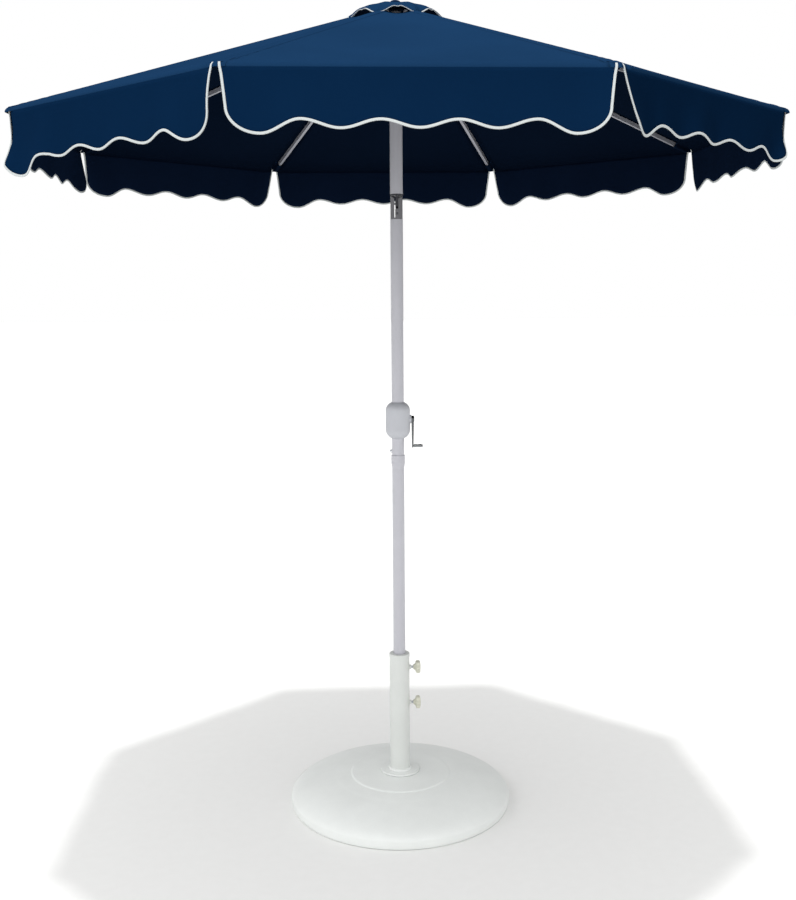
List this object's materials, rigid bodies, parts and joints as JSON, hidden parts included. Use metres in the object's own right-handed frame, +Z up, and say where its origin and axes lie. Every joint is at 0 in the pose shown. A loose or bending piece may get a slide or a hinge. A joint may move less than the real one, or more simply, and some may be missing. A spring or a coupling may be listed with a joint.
{
  "type": "patio umbrella",
  "caption": "Octagonal crank and tilt patio umbrella with scalloped valance, standing in a weighted dome base with a clamped sleeve.",
  "frame": {"origin": "centre of the base's underside", "axes": "+Z up along the mast; -Y is the front side, towards which the canopy tilts; +X is the side of the crank and the clamp knobs"},
  "size_m": [2.053, 2.053, 2.476],
  "materials": {
    "pole_paint": "satin light grey powder coat",
    "base_paint": "satin off-white powder coat",
    "concrete": "cast concrete ballast",
    "housing_plastic": "satin moulded grey plastic",
    "chrome": "polished chrome plate",
    "zinc_steel": "zinc plated steel",
    "dark_casting": "dark die casting",
    "knob_plastic": "ivory moulded plastic on a steel screw",
    "navy_cloth": "woven navy polyester with white binding",
    "navy_plastic": "navy moulded plastic",
    "grey_nylon": "moulded grey nylon"
  },
  "bodies": {
    "base": {"base_shell": "base_paint", "base_plate": "zinc_steel", "base_ballast": "concrete", "base_flange": "base_paint", "sleeve_tube": "base_paint", "sleeve_cap": "base_paint"},
    "upper_knob": {"upper_knob": "knob_plastic"},
    "lower_knob": {"lower_knob": "knob_plastic"},
    "lower_mast": {"lower_pole": "pole_paint", "pole_spigot": "zinc_steel", "middle_pole": "pole_paint", "crank_housing_front": "housing_plastic", "crank_housing_rear": "housing_plastic", "tilt_fork": "dark_casting", "tilt_pin": "zinc_steel", "tilt_spring": "zinc_steel"},
    "snap_button": {"snap_button": "chrome"},
    "tilt_button": {"tilt_button": "chrome"},
    "crank": {"crank_spool": "zinc_steel", "crank_arm": "chrome"},
    "crank_grip": {"crank_grip": "chrome"},
    "upper_mast": {"tilt_tongue": "dark_casting", "upper_pole": "pole_paint", "crown_hub": "grey_nylon", "crown_cap": "navy_plastic", "lift_pulley": "grey_nylon", "vent_canopy": "navy_cloth"},
    "runner": {"runner": "grey_nylon"},
    "rib_1": {"rib_1": "pole_paint"},
    "stretcher_1": {"stretcher_1": "pole_paint"},
    "rib_2": {"rib_2": "pole_paint"},
    "stretcher_2": {"stretcher_2": "pole_paint"},
    "rib_3": {"rib_3": "pole_paint"},
    "stretcher_3": {"stretcher_3": "pole_paint"},
    "rib_4": {"rib_4": "pole_paint"},
    "stretcher_4": {"stretcher_4": "pole_paint"},
    "rib_5": {"rib_5": "pole_paint"},
    "stretcher_5": {"stretcher_5": "pole_paint"},
    "rib_6": {"rib_6": "pole_paint"},
    "stretcher_6": {"stretcher_6": "pole_paint"},
    "rib_7": {"rib_7": "pole_paint"},
    "stretcher_7": {"stretcher_7": "pole_paint"},
    "rib_8": {"rib_8": "pole_paint"},
    "stretcher_8": {"stretcher_8": "pole_paint"},
    "panel_1": {"canopy_panel_1": "navy_cloth"},
    "valance_1": {"valance_flap_1": "navy_cloth"},
    "panel_2": {"canopy_panel_2": "navy_cloth"},
    "valance_2": {"valance_flap_2": "navy_cloth"},
    "panel_3": {"canopy_panel_3": "navy_cloth"},
    "valance_3": {"valance_flap_3": "navy_cloth"},
    "panel_4": {"canopy_panel_4": "navy_cloth"},
    "valance_4": {"valance_flap_4": "navy_cloth"},
    "panel_5": {"canopy_panel_5": "navy_cloth"},
    "valance_5": {"valance_flap_5": "navy_cloth"},
    "panel_6": {"canopy_panel_6": "navy_cloth"},
    "valance_6": {"valance_flap_6": "navy_cloth"},
    "panel_7": {"canopy_panel_7": "navy_cloth"},
    "valance_7": {"valance_flap_7": "navy_cloth"},
    "panel_8": {"canopy_panel_8": "navy_cloth"},
    "valance_8": {"valance_flap_8": "navy_cloth"}
  },
  "joints": [
    {"name": "mast_swivel", "type": "hinge", "parent": "base", "child": "lower_mast", "pos_m": [0, 0, 0.3], "axis": [0, 0, 1], "continuous": true},
    {"name": "upper_knob_turn", "type": "hinge", "parent": "base", "child": "upper_knob", "pos_m": [0.055, 0, 0.441], "axis": [1, 0, 0], "range_deg": [0, 1080]},
    {"name": "lower_knob_turn", "type": "hinge", "parent": "base", "child": "lower_knob", "pos_m": [0.055, 0, 0.324], "axis": [1, 0, 0], "range_deg": [0, 1080]},
    {"name": "snap_button_press", "type": "slide", "parent": "lower_mast", "child": "snap_button", "axis": [1, 0, 0], "range_m": [0, 0.006], "stiffness_N_per_m": 600, "springref_m": -0.002},
    {"name": "tilt_button_press", "type": "slide", "parent": "lower_mast", "child": "tilt_button", "axis": [0, 1, 0], "range_m": [0, 0.004], "stiffness_N_per_m": 500, "springref_m": -0.002, "deforming": ["tilt_spring"]},
    {"name": "canopy_tilt", "type": "hinge", "parent": "lower_mast", "child": "upper_mast", "pos_m": [0, 0, 1.889], "axis": [1, 0, 0], "range_deg": [0, 30]},
    {"name": "crank_turn", "type": "hinge", "parent": "lower_mast", "child": "crank", "pos_m": [0, 0, 1.237], "axis": [1, 0, 0], "range_deg": [-5787, 0]},
    {"name": "crank_grip_spin", "type": "hinge", "parent": "crank", "child": "crank_grip", "pos_m": [0.06, 0, 1.1535], "axis": [1, 0, 0], "continuous": true},
    {"name": "canopy_fold", "type": "hinge", "parent": "upper_mast", "child": "rib_1", "pos_m": [0.01378, -0.03326, 2.4186], "axis": [-0.9239, -0.3827, 0], "range_deg": [-68, 0], "deforming": ["vent_canopy"]},
    {"name": "stretcher_1_fold", "type": "hinge", "parent": "rib_1", "child": "stretcher_1", "pos_m": [0.17392, -0.41987, 2.28263], "axis": [-0.9239, -0.3827, 0], "range_deg": [0, 136]},
    {"name": "rib_2_fold", "type": "hinge", "parent": "upper_mast", "child": "rib_2", "pos_m": [0.03326, -0.01378, 2.4186], "axis": [-0.3827, -0.9239, 0], "range_deg": [-68, 0]},
    {"name": "stretcher_2_fold", "type": "hinge", "parent": "rib_2", "child": "stretcher_2", "pos_m": [0.41987, -0.17392, 2.28263], "axis": [-0.3827, -0.9239, 0], "range_deg": [0, 136]},
    {"name": "rib_3_fold", "type": "hinge", "parent": "upper_mast", "child": "rib_3", "pos_m": [0.03326, 0.01378, 2.4186], "axis": [0.3827, -0.9239, 0], "range_deg": [-68, 0]},
    {"name": "stretcher_3_fold", "type": "hinge", "parent": "rib_3", "child": "stretcher_3", "pos_m": [0.41987, 0.17392, 2.28263], "axis": [0.3827, -0.9239, 0], "range_deg": [0, 136]},
    {"name": "rib_4_fold", "type": "hinge", "parent": "upper_mast", "child": "rib_4", "pos_m": [0.01378, 0.03326, 2.4186], "axis": [0.9239, -0.3827, 0], "range_deg": [-68, 0]},
    {"name": "stretcher_4_fold", "type": "hinge", "parent": "rib_4", "child": "stretcher_4", "pos_m": [0.17392, 0.41987, 2.28263], "axis": [0.9239, -0.3827, 0], "range_deg": [0, 136]},
    {"name": "rib_5_fold", "type": "hinge", "parent": "upper_mast", "child": "rib_5", "pos_m": [-0.01378, 0.03326, 2.4186], "axis": [0.9239, 0.3827, 0], "range_deg": [-68, 0]},
    {"name": "stretcher_5_fold", "type": "hinge", "parent": "rib_5", "child": "stretcher_5", "pos_m": [-0.17392, 0.41987, 2.28263], "axis": [0.9239, 0.3827, 0], "range_deg": [0, 136]},
    {"name": "rib_6_fold", "type": "hinge", "parent": "upper_mast", "child": "rib_6", "pos_m": [-0.03326, 0.01378, 2.4186], "axis": [0.3827, 0.9239, 0], "range_deg": [-68, 0]},
    {"name": "stretcher_6_fold", "type": "hinge", "parent": "rib_6", "child": "stretcher_6", "pos_m": [-0.41987, 0.17392, 2.28263], "axis": [0.3827, 0.9239, 0], "range_deg": [0, 136]},
    {"name": "rib_7_fold", "type": "hinge", "parent": "upper_mast", "child": "rib_7", "pos_m": [-0.03326, -0.01378, 2.4186], "axis": [-0.3827, 0.9239, 0], "range_deg": [-68, 0]},
    {"name": "stretcher_7_fold", "type": "hinge", "parent": "rib_7", "child": "stretcher_7", "pos_m": [-0.41987, -0.17392, 2.28263], "axis": [-0.3827, 0.9239, 0], "range_deg": [0, 136]},
    {"name": "rib_8_fold", "type": "hinge", "parent": "upper_mast", "child": "rib_8", "pos_m": [-0.01378, -0.03326, 2.4186], "axis": [-0.9239, 0.3827, 0], "range_deg": [-68, 0]},
    {"name": "stretcher_8_fold", "type": "hinge", "parent": "rib_8", "child": "stretcher_8", "pos_m": [-0.17392, -0.41987, 2.28263], "axis": [-0.9239, 0.3827, 0], "range_deg": [0, 136]},
    {"name": "runner_slide_link", "type": "hinge", "parent": "stretcher_1", "child": "runner", "pos_m": [0.01378, -0.03326, 2.14667], "axis": [-0.9239, -0.3827, 0], "range_deg": [-68, 0]},
    {"name": "panel_1_fold", "type": "hinge", "parent": "upper_mast", "child": "panel_1", "pos_m": [0, -0.045, 2.44483], "axis": [-1, 0, 0], "range_deg": [-66, 0], "deforming": ["canopy_panel_1"]},
    {"name": "valance_1_hang", "type": "hinge", "parent": "panel_1", "child": "valance_1", "pos_m": [0, -1.02551, 2.1], "axis": [-1, 0, 0], "range_deg": [0, 66], "deforming": ["valance_flap_1"]},
    {"name": "panel_2_fold", "type": "hinge", "parent": "upper_mast", "child": "panel_2", "pos_m": [0.03182, -0.03182, 2.44483], "axis": [-0.7071, -0.7071, 0], "range_deg": [-66, 0], "deforming": ["canopy_panel_2"]},
    {"name": "valance_2_hang", "type": "hinge", "parent": "panel_2", "child": "valance_2", "pos_m": [0.72514, -0.72514, 2.1], "axis": [-0.7071, -0.7071, 0], "range_deg": [0, 66], "deforming": ["valance_flap_2"]},
    {"name": "panel_3_fold", "type": "hinge", "parent": "upper_mast", "child": "panel_3", "pos_m": [0.045, 0, 2.44483], "axis": [0, -1, 0], "range_deg": [-66, 0], "deforming": ["canopy_panel_3"]},
    {"name": "valance_3_hang", "type": "hinge", "parent": "panel_3", "child": "valance_3", "pos_m": [1.02551, 0, 2.1], "axis": [0, -1, 0], "range_deg": [0, 66], "deforming": ["valance_flap_3"]},
    {"name": "panel_4_fold", "type": "hinge", "parent": "upper_mast", "child": "panel_4", "pos_m": [0.03182, 0.03182, 2.44483], "axis": [0.7071, -0.7071, 0], "range_deg": [-66, 0], "deforming": ["canopy_panel_4"]},
    {"name": "valance_4_hang", "type": "hinge", "parent": "panel_4", "child": "valance_4", "pos_m": [0.72514, 0.72514, 2.1], "axis": [0.7071, -0.7071, 0], "range_deg": [0, 66], "deforming": ["valance_flap_4"]},
    {"name": "panel_5_fold", "type": "hinge", "parent": "upper_mast", "child": "panel_5", "pos_m": [0, 0.045, 2.44483], "axis": [1, 0, 0], "range_deg": [-66, 0], "deforming": ["canopy_panel_5"]},
    {"name": "valance_5_hang", "type": "hinge", "parent": "panel_5", "child": "valance_5", "pos_m": [0, 1.02551, 2.1], "axis": [1, 0, 0], "range_deg": [0, 66], "deforming": ["valance_flap_5"]},
    {"name": "panel_6_fold", "type": "hinge", "parent": "upper_mast", "child": "panel_6", "pos_m": [-0.03182, 0.03182, 2.44483], "axis": [0.7071, 0.7071, 0], "range_deg": [-66, 0], "deforming": ["canopy_panel_6"]},
    {"name": "valance_6_hang", "type": "hinge", "parent": "panel_6", "child": "valance_6", "pos_m": [-0.72514, 0.72514, 2.1], "axis": [0.7071, 0.7071, 0], "range_deg": [0, 66], "deforming": ["valance_flap_6"]},
    {"name": "panel_7_fold", "type": "hinge", "parent": "upper_mast", "child": "panel_7", "pos_m": [-0.045, 0, 2.44483], "axis": [0, 1, 0], "range_deg": [-66, 0], "deforming": ["canopy_panel_7"]},
    {"name": "valance_7_hang", "type": "hinge", "parent": "panel_7", "child": "valance_7", "pos_m": [-1.02551, 0, 2.1], "axis": [0, 1, 0], "range_deg": [0, 66], "deforming": ["valance_flap_7"]},
    {"name": "panel_8_fold", "type": "hinge", "parent": "upper_mast", "child": "panel_8", "pos_m": [-0.03182, -0.03182, 2.44483], "axis": [-0.7071, 0.7071, 0], "range_deg": [-66, 0], "deforming": ["canopy_panel_8"]},
    {"name": "valance_8_hang", "type": "hinge", "parent": "panel_8", "child": "valance_8", "pos_m": [-0.72514, -0.72514, 2.1], "axis": [-0.7071, 0.7071, 0], "range_deg": [0, 66], "deforming": ["valance_flap_8"]}
  ],
  "couplings": [
    {"joint": "stretcher_1_fold", "follows": "canopy_fold", "ratio": -2},
    {"joint": "rib_2_fold", "follows": "canopy_fold", "ratio": 1},
    {"joint": "stretcher_2_fold", "follows": "canopy_fold", "ratio": -2},
    {"joint": "rib_3_fold", "follows": "canopy_fold", "ratio": 1},
    {"joint": "stretcher_3_fold", "follows": "canopy_fold", "ratio": -2},
    {"joint": "rib_4_fold", "follows": "canopy_fold", "ratio": 1},
    {"joint": "stretcher_4_fold", "follows": "canopy_fold", "ratio": -2},
    {"joint": "rib_5_fold", "follows": "canopy_fold", "ratio": 1},
    {"joint": "stretcher_5_fold", "follows": "canopy_fold", "ratio": -2},
    {"joint": "rib_6_fold", "follows": "canopy_fold", "ratio": 1},
    {"joint": "stretcher_6_fold", "follows": "canopy_fold", "ratio": -2},
    {"joint": "rib_7_fold", "follows": "canopy_fold", "ratio": 1},
    {"joint": "stretcher_7_fold", "follows": "canopy_fold", "ratio": -2},
    {"joint": "rib_8_fold", "follows": "canopy_fold", "ratio": 1},
    {"joint": "stretcher_8_fold", "follows": "canopy_fold", "ratio": -2},
    {"joint": "runner_slide_link", "follows": "canopy_fold", "ratio": 1},
    {"joint": "panel_1_fold", "follows": "canopy_fold", "ratio": 0.97059},
    {"joint": "valance_1_hang", "follows": "canopy_fold", "ratio": -0.97059},
    {"joint": "panel_2_fold", "follows": "canopy_fold", "ratio": 0.97059},
    {"joint": "valance_2_hang", "follows": "canopy_fold", "ratio": -0.97059},
    {"joint": "panel_3_fold", "follows": "canopy_fold", "ratio": 0.97059},
    {"joint": "valance_3_hang", "follows": "canopy_fold", "ratio": -0.97059},
    {"joint": "panel_4_fold", "follows": "canopy_fold", "ratio": 0.97059},
    {"joint": "valance_4_hang", "follows": "canopy_fold", "ratio": -0.97059},
    {"joint": "panel_5_fold", "follows": "canopy_fold", "ratio": 0.97059},
    {"joint": "valance_5_hang", "follows": "canopy_fold", "ratio": -0.97059},
    {"joint": "panel_6_fold", "follows": "canopy_fold", "ratio": 0.97059},
    {"joint": "valance_6_hang", "follows": "canopy_fold", "ratio": -0.97059},
    {"joint": "panel_7_fold", "follows": "canopy_fold", "ratio": 0.97059},
    {"joint": "valance_7_hang", "follows": "canopy_fold", "ratio": -0.97059},
    {"joint": "panel_8_fold", "follows": "canopy_fold", "ratio": 0.97059},
    {"joint": "valance_8_hang", "follows": "canopy_fold", "ratio": -0.97059},
    {"joint": "crank_turn", "follows": "canopy_fold", "ratio": 85.088}
  ]
}
